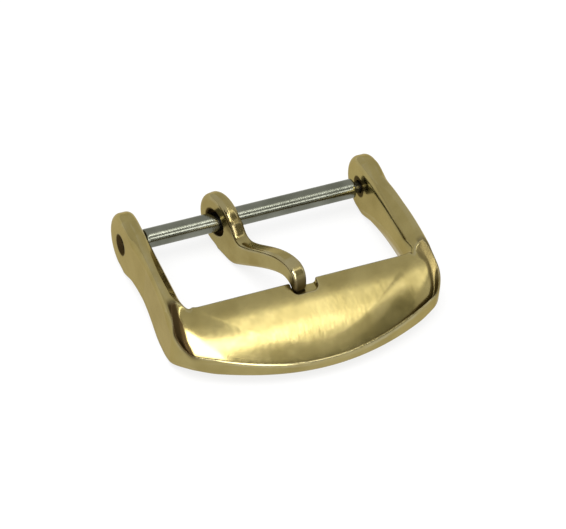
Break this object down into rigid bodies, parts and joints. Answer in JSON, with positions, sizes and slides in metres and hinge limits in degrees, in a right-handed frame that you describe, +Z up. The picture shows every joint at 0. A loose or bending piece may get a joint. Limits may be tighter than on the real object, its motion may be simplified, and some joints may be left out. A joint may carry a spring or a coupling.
{
  "type": "watch strap buckle",
  "caption": "Tang buckle for a watch strap: bowed one-piece frame, sprung bar between its arms, loose tongue resting in a groove of the front plate",
  "frame": {"origin": "middle of the footprint, on the surface that the buckle lies on", "axes": "X along the bar, to the right as seen from the front; Y back, from the plate to the bar; Z up"},
  "size_m": [0.0212, 0.0176, 0.0057],
  "materials": {
    "gold": "polished",
    "steel": "polished"
  },
  "bodies": {
    "frame": {"frame": "gold"},
    "bar": {"bar_tube": "steel", "bar_spring": "steel"},
    "tongue": {"tongue": "gold"},
    "left_tip": {"left_tip": "steel"},
    "right_tip": {"right_tip": "steel"}
  },
  "joints": [
    {"name": "tongue_swing", "type": "hinge", "parent": "frame", "child": "bar", "pos_m": [0, 0.0065, 0.00235], "axis": [-1, 0, 0], "range_deg": [0, 170]},
    {"name": "tongue_slide", "type": "slide", "parent": "bar", "child": "tongue", "axis": [1, 0, 0], "range_m": [0, 0.0007]},
    {"name": "left_tip_slide", "type": "slide", "parent": "bar", "child": "left_tip", "axis": [1, 0, 0], "range_m": [0, 0.0012], "stiffness_N_per_m": 800, "deforming": ["bar_spring"]},
    {"name": "right_tip_slide", "type": "slide", "parent": "bar", "child": "right_tip", "axis": [-1, 0, 0], "range_m": [0, 0.0012], "stiffness_N_per_m": 800, "deforming": ["bar_spring"]}
  ]
}
